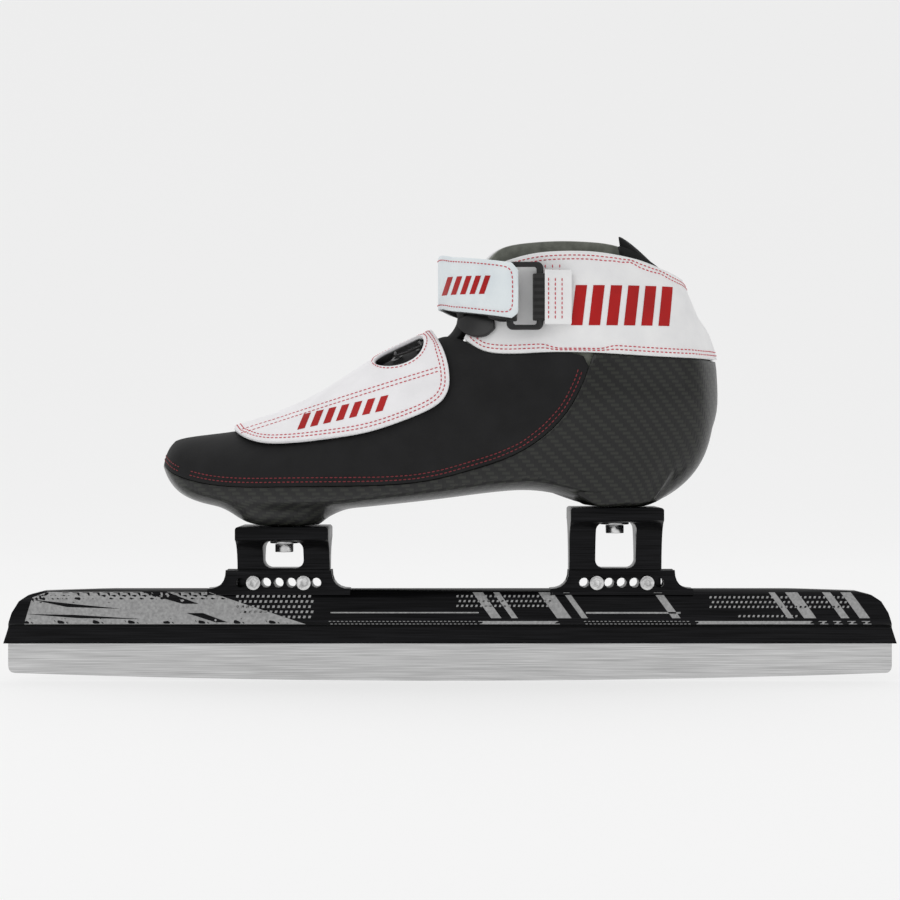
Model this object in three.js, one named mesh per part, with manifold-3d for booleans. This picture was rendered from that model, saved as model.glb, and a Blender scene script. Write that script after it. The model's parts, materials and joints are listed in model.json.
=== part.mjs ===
// Left long-blade ice speed skate: moulded boot, two cups, blade tube and blade.
// Frame: millimetres, +Z up, +X towards the heel, the outer side of the foot at -Y,
// origin at the lowest point of the blade.
import * as THREE from "three";
import { mergeVertices } from "three/addons/utils/BufferGeometryUtils.js";
import Module from "manifold-3d";

const wasm = await Module();
wasm.setup();

// ---- driving sizes ----
const GAP = 0.3; // clearance between touching pieces

const BLADE_LENGTH = 431.8; // 17 inch
const BLADE_THICK = 1.2;
const BLADE_SAG = 3.9; // how far the ends of the blade rise over the middle
const BLADE_CORNER = 3; // rounding of the blade's two lower corners
const BLADE_TOP = 29;
const BLADE_SHOWS = 18.3; // height where the blade enters its skirt

const TUBE_LENGTH = BLADE_LENGTH + 4.2;
const TUBE_BASE = 26.6;
const TUBE_TOP = 45.2;
const TUBE_WIDTH = 13;
const SKIRT_WIDTH = 4.6;
const TUBE_BORE_R = 4;
const TUBE_BORE_Z = 35.8;
const PLUG_LENGTH = 14;

const STATION_TOP = 54.3;
const STATION_LENGTH = 51.5;
const STATION_FILLET = 9;
const STATION_SLOT = 6.2; // slot between the two cheeks of a station
const FRONT_STATION_X = -83.3;
const REAR_STATION_X = 83.5;
const HOLE_Z = 48.2;
const HOLE_D = 4.8;
const HOLE_PITCH = 6.1;
const HOLE_COUNT = 7;

const CUP_LENGTH = 44.8;
const FRONT_CUP_SHIFT = 2.4; // how far each cup's middle lies inside its station's
const REAR_CUP_SHIFT = 3.1;
const CUP_DEPTH = 38;
const CUP_PLATE = 7;
const CUP_LEG = 12.6;
const CUP_WEB = 12; // width of the cup where it meets the station
const FRONT_PAD_Z = 76;
const REAR_PAD_Z = 85.2;
const BOLT_D = 6;
const BOLT_HEAD = 10;
const BOLT_HEAD_H = 4;
const WASHER_D = 14;
const WASHER_T = 1.2;

const BOOT_LENGTH = 273;
const BOOT_WIDTH = 96;
const LAST_LENGTH = 273; // the length and width that the boot's tables are drawn at
const LAST_WIDTH = 96;
const CARBON_T = 1.8;
const UPPER_T = 1.5;
const COLLAR_PROUD = 1;
const LINER_T = 3.2;
const FOOTBED_T = 2.6;
const COVER_T = 2;
const STRAP_WIDTH = 26;
const STRAP_T = 1.6;
const RING_BAR = 3;
const EYELET_R = 3.2;
const LACE_R = 0.6;

// ---- helpers: geometry to solid and back ----
function solidOf(geometry) {
  const g = geometry.index ? geometry.toNonIndexed() : geometry.clone();
  g.deleteAttribute("normal");
  g.deleteAttribute("uv");
  const m = mergeVertices(g, 1e-4);
  return new wasm.Manifold(
    new wasm.Mesh({
      numProp: 3,
      vertProperties: new Float32Array(m.attributes.position.array),
      triVerts: new Uint32Array(m.index.array),
    }),
  );
}

function geometryOf(solid) {
  const m = solid.getMesh();
  const g = new THREE.BufferGeometry();
  g.setAttribute("position", new THREE.BufferAttribute(new Float32Array(m.vertProperties), 3));
  g.setIndex(new THREE.BufferAttribute(new Uint32Array(m.triVerts), 1));
  g.computeVertexNormals();
  return g;
}

const join = (...list) => geometryOf(list.slice(1).reduce((a, b) => a.add(solidOf(b)), solidOf(list[0])));
const cut = (body, ...tools) =>
  geometryOf(tools.reduce((a, b) => a.subtract(solidOf(b)), solidOf(body)));
const common = (a, b) => geometryOf(solidOf(a).intersect(solidOf(b)));

// A side outline in X and Z, made solid across Y.
function acrossY(shape, width, y = 0, curveSegments = 6) {
  const g = new THREE.ExtrudeGeometry(shape, { depth: width, bevelEnabled: false, curveSegments });
  return g.rotateX(Math.PI / 2).translate(0, y + width / 2, 0);
}

// An end outline in Y and Z, made solid along X.
function alongX(shape, length, x = 0, curveSegments = 6) {
  const g = new THREE.ExtrudeGeometry(shape, { depth: length, bevelEnabled: false, curveSegments });
  return g.rotateX(Math.PI / 2).rotateZ(Math.PI / 2).translate(x - length / 2, 0, 0);
}

function box(x0, x1, y0, y1, z0, z1) {
  return new THREE.BoxGeometry(x1 - x0, y1 - y0, z1 - z0).translate(
    (x0 + x1) / 2,
    (y0 + y1) / 2,
    (z0 + z1) / 2,
  );
}

const rodY = (r, length, x, y, z, sides = 16) =>
  new THREE.CylinderGeometry(r, r, length, sides).translate(x, y, z);
const rodZ = (r, length, x, y, z, sides = 16) =>
  new THREE.CylinderGeometry(r, r, length, sides).rotateX(Math.PI / 2).translate(x, y, z);

function roundedRect(x0, x1, z0, z1, r) {
  const s = new THREE.Shape();
  s.moveTo(x0 + r, z0);
  s.lineTo(x1 - r, z0);
  s.absarc(x1 - r, z0 + r, r, -Math.PI / 2, 0);
  s.lineTo(x1, z1 - r);
  s.absarc(x1 - r, z1 - r, r, 0, Math.PI / 2);
  s.lineTo(x0 + r, z1);
  s.absarc(x0 + r, z1 - r, r, Math.PI / 2, Math.PI);
  s.lineTo(x0, z0 + r);
  s.absarc(x0 + r, z0 + r, r, Math.PI, Math.PI * 1.5);
  return s;
}

const polygon = (points) => new THREE.Shape(points.map(([a, b]) => new THREE.Vector2(a, b)));

// ---- the scene ----
const skate = new THREE.Group();
skate.name = "speed_skate";

const finish = (color, roughness, metalness) =>
  new THREE.MeshStandardMaterial({ color, roughness, metalness });
const STEEL = finish(0xc4c4c4, 0.25, 1);
const BLACK_ALLOY = finish(0x0c0c0c, 0.4, 0.8);
const BOLT_STEEL = finish(0xd9d9d9, 0.3, 1);
const CARBON = finish(0x20221f, 0.15, 0);
const BLACK_HIDE = finish(0x252525, 0.6, 0);
const WHITE_HIDE = finish(0xf3f1f2, 0.5, 0);
const GREY_LINING = finish(0x6c6c65, 0.9, 0);
const BLACK_WEB = finish(0x141414, 0.8, 0);
const BLACK_PLASTIC = finish(0x0f0f0f, 0.35, 0);

function add(name, geometry, material) {
  const mesh = new THREE.Mesh(geometry, material);
  mesh.name = name;
  skate.add(mesh);
}

// ---- blade ----
function blade() {
  const half = BLADE_LENGTH / 2;
  const steps = 15;
  const s = new THREE.Shape();
  const rise = (x) => Math.max(0, BLADE_SAG * ((x / half) ** 2 - 1 / steps ** 2));
  s.moveTo(-half + BLADE_CORNER, rise(half));
  for (let i = 0; i <= steps; i++) {
    const x = -half + BLADE_CORNER + (2 * (half - BLADE_CORNER) * i) / steps;
    s.lineTo(x, rise(x));
  }
  s.quadraticCurveTo(half, rise(half), half, rise(half) + 4);
  s.lineTo(half, BLADE_SHOWS);
  s.lineTo(half - 4, BLADE_TOP);
  s.lineTo(-half + 4, BLADE_TOP);
  s.lineTo(-half, BLADE_SHOWS);
  s.lineTo(-half, rise(half) + 4);
  s.quadraticCurveTo(-half, rise(half), -half + BLADE_CORNER, rise(half));
  return acrossY(s, BLADE_THICK);
}
add("blade", blade(), STEEL);

// ---- tube, its two stations and end plugs ----
const holeX = (centre, i) => centre + (i - (HOLE_COUNT - 1) / 2) * HOLE_PITCH;

function tubeSection() {
  const r = TUBE_WIDTH / 2;
  const h = SKIRT_WIDTH / 2;
  const s = new THREE.Shape();
  s.moveTo(-h, BLADE_SHOWS);
  s.lineTo(h, BLADE_SHOWS);
  s.lineTo(h, TUBE_BASE - 1);
  s.quadraticCurveTo(h + 0.4, TUBE_BASE, r - 1.5, TUBE_BASE + 1);
  s.quadraticCurveTo(r, TUBE_BASE + 2, r, TUBE_BASE + 5);
  s.absarc(0, TUBE_TOP - r, r, 0, Math.PI);
  s.lineTo(-r, TUBE_BASE + 5);
  s.quadraticCurveTo(-r, TUBE_BASE + 2, -r + 1.5, TUBE_BASE + 1);
  s.quadraticCurveTo(-h - 0.4, TUBE_BASE, -h, TUBE_BASE - 1);
  return s;
}

function tubeSide() {
  const h = TUBE_LENGTH / 2;
  const end = (side) => [
    [side * h, BLADE_SHOWS],
    [side * (h - 3), TUBE_BASE + 1],
    [side * (h - 5), TUBE_BASE + 7],
    [side * (h - 8.5), TUBE_TOP - 6],
    [side * (h - 13), TUBE_TOP - 3],
    [side * (h - 20), TUBE_TOP - 1.2],
    [side * (h - 60), TUBE_TOP + 0.2],
  ];
  return polygon([...end(-1).map(([x, z]) => [x, z]), ...end(1).reverse()]);
}

function station(centre) {
  const h = STATION_LENGTH / 2;
  const f = STATION_FILLET;
  const base = TUBE_TOP - 3;
  const s = new THREE.Shape();
  s.moveTo(centre - h - f, base);
  s.lineTo(centre + h + f, base);
  s.lineTo(centre + h + f, TUBE_TOP);
  s.quadraticCurveTo(centre + h, TUBE_TOP, centre + h, STATION_TOP);
  s.lineTo(centre - h, STATION_TOP);
  s.quadraticCurveTo(centre - h, TUBE_TOP, centre - h - f, TUBE_TOP);
  return acrossY(s, TUBE_WIDTH - 0.6);
}

function tube() {
  const body = common(alongX(tubeSection(), TUBE_LENGTH + 4), acrossY(tubeSide(), TUBE_WIDTH + 4));
  const raised = join(body, station(FRONT_STATION_X), station(REAR_STATION_X));
  const half = BLADE_THICK / 2 + GAP / 3;
  const tools = [
    box(-TUBE_LENGTH, TUBE_LENGTH, -half, half, 0, BLADE_TOP + GAP),
    new THREE.CylinderGeometry(TUBE_BORE_R, TUBE_BORE_R, TUBE_LENGTH * 1.1, 12)
      .rotateZ(Math.PI / 2)
      .translate(0, 0, TUBE_BORE_Z),
  ];
  const slot = STATION_SLOT / 2;
  for (const centre of [FRONT_STATION_X, REAR_STATION_X]) {
    tools.push(
      box(
        centre - STATION_LENGTH / 2 - 1,
        centre + STATION_LENGTH / 2 + 1,
        -slot,
        slot,
        HOLE_Z - HOLE_D,
        STATION_TOP + 1,
      ),
    );
    for (let i = 0; i < HOLE_COUNT; i++)
      tools.push(rodY(HOLE_D / 2, TUBE_WIDTH * 2, holeX(centre, i), 0, HOLE_Z, 12));
  }
  return cut(raised, ...tools);
}
add("blade_tube", tube(), BLACK_ALLOY);

for (const [name, side] of [["front", -1], ["rear", 1]]) {
  const plug = new THREE.CylinderGeometry(
    TUBE_BORE_R - GAP,
    TUBE_BORE_R - GAP,
    PLUG_LENGTH,
    12,
  );
  const x = side * (TUBE_LENGTH / 2 - 12 - PLUG_LENGTH / 2);
  add(name + "_tube_plug", plug.rotateZ(Math.PI / 2).translate(x, 0, TUBE_BORE_Z), BLACK_PLASTIC);
}

// ---- cups, with their bolts, washers and cross screws ----
function cup(x0, top, firstHole, lastHole) {
  const x1 = x0 + CUP_LENGTH;
  const foot = HOLE_Z - HOLE_D + GAP;
  const side = roundedRect(x0, x1, foot, top, 1.5);
  const window = roundedRect(x0 + CUP_LEG, x1 - CUP_LEG, STATION_TOP + 1, top - CUP_PLATE, 4);
  const d = CUP_DEPTH / 2;
  const w = CUP_WEB / 2;
  const t = STATION_SLOT / 2 - GAP;
  const mid = STATION_TOP + 1;
  const end = new THREE.Shape();
  end.moveTo(-t, foot - 1);
  end.lineTo(t, foot - 1);
  end.lineTo(t, STATION_TOP + GAP);
  end.lineTo(w, STATION_TOP + GAP);
  end.lineTo(w, mid);
  end.quadraticCurveTo(w + 1, top - CUP_PLATE - 2, d, top - CUP_PLATE + 1);
  end.lineTo(d, top + 1);
  end.lineTo(-d, top + 1);
  end.lineTo(-d, top - CUP_PLATE + 1);
  end.quadraticCurveTo(-w - 1, top - CUP_PLATE - 2, -w, mid);
  end.lineTo(-w, STATION_TOP + GAP);
  end.lineTo(-t, STATION_TOP + GAP);
  const body = common(acrossY(side, CUP_DEPTH), alongX(end, CUP_LENGTH + 2, (x0 + x1) / 2));
  const tools = [
    acrossY(window, CUP_DEPTH + 2),
    rodZ(BOLT_D / 2 + GAP, CUP_PLATE * 3, (x0 + x1) / 2, 0, top - CUP_PLATE / 2),
  ];
  for (let i = firstHole; i <= lastHole; i++) {
    const centre = x0 < 0 ? FRONT_STATION_X : REAR_STATION_X;
    tools.push(rodY(HOLE_D / 2, CUP_DEPTH, holeX(centre, i), 0, HOLE_Z, 12));
  }
  return cut(body, ...tools);
}

function hexBolt(x, under, tip) {
  const head = rodZ(BOLT_HEAD / 2, BOLT_HEAD_H, x, 0, under - BOLT_HEAD_H / 2, 6);
  return join(head, rodZ(BOLT_D / 2, tip - under + 1, x, 0, (tip + under - 1) / 2, 16));
}

function ringZ(outer, inner, z0, z1, x) {
  const p = [
    [inner, z0],
    [outer, z0],
    [outer, z1],
    [inner, z1],
    [inner, z0],
  ].map(([r, z]) => new THREE.Vector2(r, z));
  return new THREE.LatheGeometry(p, 20).rotateX(Math.PI / 2).translate(x, 0, 0);
}

function crossScrew(x) {
  const head = rodY(3.5, 1.2, x, -TUBE_WIDTH / 2 - 0.9, HOLE_Z, 16);
  const shank = rodY(HOLE_D / 2 - GAP, TUBE_WIDTH + 1, x, -1, HOLE_Z, 12);
  const socket = rodY(1.6, 1.4, x, -TUBE_WIDTH / 2 - 1.3, HOLE_Z, 6);
  return cut(join(head, shank), socket);
}

function crossNut(x) {
  const y = TUBE_WIDTH / 2 + 0.3;
  return rodY(3.4, 0.9, x, y + 0.45, HOLE_Z, 16);
}

const CUPS = [
  ["front", FRONT_STATION_X + FRONT_CUP_SHIFT, FRONT_PAD_Z, FRONT_STATION_X, 1, 6],
  ["rear", REAR_STATION_X - REAR_CUP_SHIFT, REAR_PAD_Z, REAR_STATION_X, 0, 5],
];
for (const [name, x, pad, station0, first, last] of CUPS) {
  const top = pad - GAP;
  const seat = top - CUP_PLATE;
  add(name + "_cup", cup(x - CUP_LENGTH / 2, top, first, last), BLACK_ALLOY);
  const washerTop = seat - GAP;
  const under = washerTop - WASHER_T - GAP;
  add(name + "_cup_bolt", hexBolt(x, under, pad + 5), BOLT_STEEL);
  const washer = ringZ(WASHER_D / 2, BOLT_D / 2 + GAP, washerTop - WASHER_T, washerTop, x);
  add(name + "_cup_washer", washer, BOLT_STEEL);
  for (const [k, hole] of [["fore", 1], ["aft", 5]]) {
    add(`${name}_cross_screw_${k}`, crossScrew(holeX(station0, hole)), BOLT_STEEL);
    add(`${name}_cross_nut_${k}`, crossNut(holeX(station0, hole)), BOLT_STEEL);
  }
}

// ---- the last: the outer surface of the boot ----
// Each station joins a point under the sole or heel to a point of the instep or ankle front.
// half is the half width there, and belly sets how low on the section the width is greatest.
const SX = BOOT_LENGTH / LAST_LENGTH;
const SY = BOOT_WIDTH / LAST_WIDTH;
const stationOf = (sx, sz, tx, tz, half, belly) => [sx * SX, sz, tx * SX, tz, half * SY, belly];
const LAST = [
  stationOf(-141.5, 106.5, -141.5, 106.5, 0, 1.1),
  stationOf(-139, 97, -139, 114.6, 17, 1.15),
  stationOf(-131.5, 90, -132, 118.6, 30, 1.3),
  stationOf(-117, 86, -118, 120.8, 39, 1.5),
  stationOf(-98, 84.2, -100, 123, 44.5, 1.6),
  stationOf(-76, 83.5, -81, 128, 47.5, 1.65),
  stationOf(-52, 84.2, -61, 137, 48, 1.65),
  stationOf(-28, 86.4, -42, 149, 46, 1.55),
  stationOf(-4, 89, -25, 159.5, 42.5, 1.45),
  stationOf(20, 92, -11, 165.5, 39, 1.35),
  stationOf(42, 93.4, -3, 170, 37, 1.2),
  stationOf(62, 89.5, 0, 174, 36, 1.1),
  stationOf(82, 85, 1.5, 178, 36.5, 1.05),
  stationOf(104, 88.4, 2.5, 182, 37, 1),
  stationOf(122, 102.5, 3, 186, 37, 1),
  stationOf(130.6, 124, 3.5, 190, 36.5, 1),
  stationOf(130.4, 155, 4, 195, 36, 1),
  stationOf(123, 176, 4.5, 202, 35.5, 1),
  stationOf(114.5, 196, 5, 211, 35.5, 1),
  stationOf(107, 220, 5, 226, 36, 1),
];
const LAST_END = LAST.length - 1;
const ROUND = 0.85; // under 1 squares off the section a little
const TOE_IN = 7; // how far the toe tip lies towards the inner side

function stationAt(k) {
  const i = Math.min(Math.floor(k), LAST_END - 1);
  const t = k - i;
  const first = LAST[1];
  const before = i ? LAST[i - 1] : [first[2], first[3], first[0], first[1], -first[4], first[5]];
  const after = LAST[Math.min(i + 2, LAST_END)];
  return LAST[i].map((b, n) => {
    const c = LAST[i + 1][n];
    const a = before[n];
    const d = after[n];
    return b + 0.5 * t * (c - a + t * (2 * a - 5 * b + 4 * c - d + t * (3 * (b - c) + d - a)));
  });
}

const smooth = (t) => {
  const u = Math.min(1, Math.max(0, t));
  return u * u * (3 - 2 * u);
};
// 1 between flat0 and flat1, easing to 0 at low and high.
const plateau = (v, low, flat0, flat1, high) =>
  Math.min(smooth((v - low) / (flat0 - low)), smooth((high - v) / (high - flat1)));

const SOLE_LIMIT = 110; // above this height the surface is wall, not sole
// The sole swells down to a flat pad over each cup.
const PADS = CUPS.map(([name, x, z]) => ({
  x,
  z,
  reach: name === "front" ? [-31, -12, 17, 27] : [-24, -12, 14, 24],
}));

function lastPoint(k, theta, side, pads = true) {
  const [sx, sz, tx, tz, half, belly] = stationAt(k);
  const share = ((1 - Math.cos(theta)) / 2) ** belly;
  const x = sx + (tx - sx) * share;
  let z = sz + (tz - sz) * share;
  const middle = TOE_IN * SY * smooth((-40 - x / SX) / 100);
  const y = middle + side * half * Math.max(0, Math.sin(theta)) ** ROUND;
  if (pads && theta < 1.2 && z < SOLE_LIMIT)
    for (const pad of PADS) {
      const [a, b, c, d] = pad.reach;
      const along = plateau(x - pad.x, a, b, c, d);
      const across = plateau(y, -34, -19, 19, 34);
      z += (pad.z - z) * along * across;
    }
  return new THREE.Vector3(x, y, z);
}

function lastNormal(k, theta, side, pads = true) {
  if (k < 1e-6) return new THREE.Vector3(-1, 0, 0);
  const e = 0.02;
  const seam = theta < e || theta > Math.PI - e;
  const t = Math.min(Math.PI - 2 * e, Math.max(2 * e, theta));
  const kk = Math.min(LAST_END - e, Math.max(e, k));
  const at = (a, b) => lastPoint(a, b, side, pads);
  const dk = at(kk + e, t).sub(at(kk - e, t));
  const dt = at(kk, t + e).sub(at(kk, t - e));
  const n = dk.cross(dt);
  if (seam) n.y = 0;
  if (side > 0) n.negate();
  return n.normalize();
}

// Where a point of the side view lies on the surface.
function onLast(x, z) {
  const turn = (k) => {
    const [sx, sz, tx, tz] = stationAt(k);
    return (tx - sx) * (z - sz) - (tz - sz) * (x - sx);
  };
  let lo = 0.02;
  let hi = LAST_END;
  for (let k = lo; k < LAST_END; k += 0.25)
    if (turn(k) <= 0) {
      lo = k;
      hi = Math.min(k + 0.25, LAST_END);
    }
  for (let i = 0; i < 40; i++) {
    const mid = (lo + hi) / 2;
    if (turn(mid) <= 0) lo = mid;
    else hi = mid;
  }
  const [sx, sz, tx, tz, , belly] = stationAt(lo);
  const ux = tx - sx;
  const uz = tz - sz;
  const share = ((x - sx) * ux + (z - sz) * uz) / (ux * ux + uz * uz);
  const f = Math.min(1, Math.max(0, share)) ** (1 / belly);
  return [lo, Math.acos(1 - 2 * f)];
}

// A curve through side-view points, as count + 1 places on the surface, closer at its start if ease > 1.
function sideLine(points, count, ease = 1) {
  const curve = new THREE.SplineCurve(points.map(([x, z]) => new THREE.Vector2(x * SX, z)));
  return Array.from({ length: count + 1 }, (_, i) => {
    const p = curve.getPointAt((i / count) ** ease);
    return onLast(p.x, p.y);
  });
}

const kAtSole = (x) => onLast(x * SX, 60)[0];
const span = (a, b, count) => Array.from({ length: count + 1 }, (_, i) => a + ((b - a) * i) / count);

// Rows of places between two edges, low[j] to high[j].
function rowsBetween(low, high, rows) {
  return Array.from({ length: rows + 1 }, (_, i) =>
    low.map(([k, t], j) => [k + ((high[j][0] - k) * i) / rows, t + ((high[j][1] - t) * i) / rows]),
  );
}

// A sheet of even thickness on the last: grids of places, each with its side, from inner to outer.
function shell(grids, inner, outer, shape = (p) => p, pads = true) {
  const found = new Map();
  const places = [];
  const faces = [];
  const index = (k, t, side) => {
    const p = lastPoint(k, t, side, pads);
    const key = [p.x, p.y, p.z].map((v) => Math.round(v * 200)).join();
    if (!found.has(key)) {
      found.set(key, places.length);
      places.push({ p, n: lastNormal(k, t, side, pads), k, t });
    }
    return found.get(key);
  };
  const face = (a, b, c) => {
    if (a === b || b === c || a === c) return;
    const [A, B, C] = [a, b, c].map((i) => places[i]);
    const n = B.p.clone().sub(A.p).cross(C.p.clone().sub(A.p));
    const out = A.n.clone().add(B.n).add(C.n);
    faces.push(n.dot(out) < 0 ? [a, c, b] : [a, b, c]);
  };
  const onSeam = (i) => Math.sin(places[i].t) < 1e-6;
  for (const { rows, side } of grids) {
    const ids = rows.map((row) => row.map(([k, t, own]) => index(k, t, own ?? side)));
    for (let i = 0; i + 1 < ids.length; i++)
      for (let j = 0; j + 1 < ids[i].length; j++) {
        const [a, b, c, d] = [ids[i][j], ids[i][j + 1], ids[i + 1][j + 1], ids[i + 1][j]];
        const turned = [a, b, c].every(onSeam) || [a, c, d].every(onSeam);
        face(a, b, turned ? d : c);
        face(turned ? b : a, c, d);
      }
  }
  const n = places.length;
  const position = [];
  for (const depth of [outer, inner])
    for (const { p, n: normal, k, t } of places) {
      const d = typeof depth === "function" ? depth(k, t, p) : depth;
      const q = shape(p.clone().addScaledVector(normal, d), depth === outer);
      position.push(q.x, q.y, q.z);
    }
  const edges = new Map();
  for (const [a, b, c] of faces)
    for (const [u, v] of [[a, b], [b, c], [c, a]]) edges.set(u + "," + v, [u, v]);
  const index3 = faces.flat().concat(faces.flatMap(([a, b, c]) => [a + n, c + n, b + n]));
  for (const [, [u, v]] of edges)
    if (!edges.has(v + "," + u)) index3.push(u, u + n, v, v, u + n, v + n);
  const g = new THREE.BufferGeometry();
  g.setAttribute("position", new THREE.Float32BufferAttribute(position, 3));
  g.setIndex(index3);
  g.computeVertexNormals();
  return g;
}
const bothSides = (rows) => [{ rows, side: -1 }, { rows, side: 1 }];

// ---- edges of the boot's pieces, as seen from the side ----
const RIDGE_STEPS = 5;
const THROAT_STEPS = 11;
const CUFF_STEPS = 6;
const HEEL_STEPS = 7;
const RIM_STEPS = RIDGE_STEPS + THROAT_STEPS + CUFF_STEPS;
const THROAT_GAP = 9; // half width of the lace opening
const BACK_SEAM = [130.2, 156.2];
const SIDE_SEAM = [67.6, 158.6]; // where shell, upper and collar meet
const COLLAR_FOOT = [6.6, 165.6];

const rimLine = sideLine(
  [
    [-140.3, 106.8],
    [-132, 100.8],
    [-116, 96.6],
    [-100, 95.2],
    [-74, 95.4],
    [-19.8, 96.6],
    [9, 102.8],
    [34.5, 111.8],
    [52.4, 126.4],
    [61.4, 140.6],
    SIDE_SEAM,
  ],
  RIM_STEPS,
  1.4,
);
rimLine[0] = [0, 0];

const cuffLine = sideLine([COLLAR_FOOT, [14.2, 159.4], [27.9, 158], [46.8, 158.9], SIDE_SEAM], CUFF_STEPS);
const heelLine = sideLine([SIDE_SEAM, [84, 157.6], [104, 156.6], BACK_SEAM], HEEL_STEPS);
heelLine[HEEL_STEPS][1] = 0;
heelLine[0] = rimLine[RIM_STEPS];
cuffLine[CUFF_STEPS] = rimLine[RIM_STEPS];

// The top edge of the upper: over the toe, then along one side of the lace opening, then the cuff.
const RIDGE_FROM = 1.6;
const THROAT_FROM = 5;
const throatLine = span(0, 1, THROAT_STEPS).map((u) => {
  const k = THROAT_FROM + (cuffLine[0][0] - THROAT_FROM) * u;
  const half = stationAt(k)[4];
  const gap = (THROAT_GAP * SY * Math.min(1, u * 4) ** 0.5) / half;
  const near = Math.PI - Math.asin(gap ** (1 / ROUND));
  const end = smooth((u - 0.75) / 0.25);
  return [k, near + (cuffLine[0][1] - near) * end];
});
const upperTop = [
  ...span(RIDGE_FROM, THROAT_FROM, RIDGE_STEPS).map((k) => [k, Math.PI]),
  ...throatLine.slice(1),
  ...cuffLine.slice(1),
];
const toeRim = [[0, Math.PI], ...rimLine.slice(1)];
const upperRows = (rows) => rowsBetween(toeRim, upperTop, rows);

const soleFrom = kAtSole(-112);
const soleTo = kAtSole(97);
const fullRim = [...rimLine, ...heelLine.slice(1)];
const soleLine = span(soleFrom, soleTo, fullRim.length - 1).map((k) => [k, 0]);
const bowlRows = (rows) => rowsBetween(soleLine, fullRim, rows);

const cuffAndHeel = [...cuffLine, ...heelLine.slice(1)];
const COLLAR_STEPS = CUFF_STEPS + HEEL_STEPS;
const outerTop = sideLine(
  [
    [13, 196],
    [22, 201],
    [39.2, 205.8],
    [55.7, 206.7],
    [70.9, 206.2],
    [91.2, 202.5],
    [103, 198],
    [114.9, 193.9],
  ],
  COLLAR_STEPS,
);
const innerTop = sideLine(
  [[17, 207], [24, 214], [48, 217.5], [70, 217.5], [87, 215], [99, 206.5], [114.9, 193.9]],
  COLLAR_STEPS,
);
outerTop[COLLAR_STEPS][1] = 0;
innerTop[COLLAR_STEPS] = outerTop[COLLAR_STEPS];
const collarGrids = (rows, from = 0, to = 1) => {
  const part = (top) => {
    const all = rowsBetween(cuffAndHeel, top, rows);
    const low = all[0].map(([k, t], j) => lerpPlace([k, t], all[rows][j], from));
    const high = all[0].map(([k, t], j) => lerpPlace([k, t], all[rows][j], to));
    return rowsBetween(low, high, rows);
  };
  return [{ rows: part(outerTop), side: -1 }, { rows: part(innerTop), side: 1 }];
};
function lerpPlace(a, b, t) {
  return [a[0] + (b[0] - a[0]) * t, a[1] + (b[1] - a[1]) * t];
}

// Draws a grid's first or last row back from a seam by a gap.
function drawBack(rows, low, high) {
  const moved = rows.map((row) => row.map((place) => [...place]));
  const shift = (i, next, gap) => {
    if (!gap) return;
    rows[i].forEach((place, j) => {
      const near = rows[next][j];
      const length = lastPoint(...place, -1).distanceTo(lastPoint(...near, -1));
      moved[i][j] = lerpPlace(place, near, Math.min(0.5, gap / Math.max(length, 1e-6)));
    });
  };
  shift(0, 1, low);
  shift(rows.length - 1, rows.length - 2, high);
  return moved;
}

// ---- boot shells, from the outside in ----
const SEAM = GAP / 2 + 0.05;
const SHELL_ROWS = 8;
const UPPER_ROWS = 6;
const COLLAR_ROWS = 4;

function carbonShell() {
  const rows = drawBack(bowlRows(SHELL_ROWS), 0, SEAM);
  const bowl = shell(bothSides(rows), -CARBON_T, 0);
  return cut(bowl, ...CUPS.map(([, x, z]) => rodZ(BOLT_D / 2 + GAP, 12, x, 0, z)));
}
add("carbon_shell", carbonShell(), CARBON);

const fullUpper = upperRows(UPPER_ROWS);
// The upper ends a little before the corner where its edges meet, drawn clear of both.
function withoutCorner(rows) {
  const half = rows.map((row) => lerpPlace(row[row.length - 2], row[row.length - 1], 0.5));
  const top = rows.length - 1;
  return rows.map((row, i) => {
    const inward = lerpPlace(half[0], half[top], 0.15 + (0.7 * i) / top);
    return [...row.slice(0, -1), inward];
  });
}
add(
  "upper",
  shell(bothSides(drawBack(withoutCorner(fullUpper), SEAM, 0)).map(trimCuff), -UPPER_T - 0.1, -0.1),
  BLACK_HIDE,
);
// Along the cuff the upper's top edge stops short of the collar.
function trimCuff({ rows, side }) {
  const drawn = drawBack(rows, 0, SEAM);
  const first = RIDGE_STEPS + THROAT_STEPS;
  const top = rows.length - 1;
  const last = rows[top].map((place, j) => (j < first ? place : drawn[top][j]));
  return { rows: [...rows.slice(0, top), last], side };
}

const collar = collarGrids(COLLAR_ROWS).map(({ rows, side }) => ({ rows: drawBack(rows, SEAM, 0), side }));
add("ankle_collar", shell(collar, -UPPER_T, COLLAR_PROUD), WHITE_HIDE);

// The liner's floor is level under the heel, and leaves room for the bolts' inserts.
const INSERT_H = 4;
const LINER_OUT = -CARBON_T - GAP - 0.1;
const LINER_IN = LINER_OUT - LINER_T;
const HEEL_FLOOR = REAR_PAD_Z + CARBON_T + INSERT_H + 3 * GAP + 0.6;
const floorAt = (x) => 60 + (HEEL_FLOOR - 60) * smooth((x / SX - 34) / 22);
const onFloor = (rise) => (p, isOuter) => {
  p.z = Math.max(p.z, floorAt(p.x) + (isOuter ? 0 : rise));
  return p;
};

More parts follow.
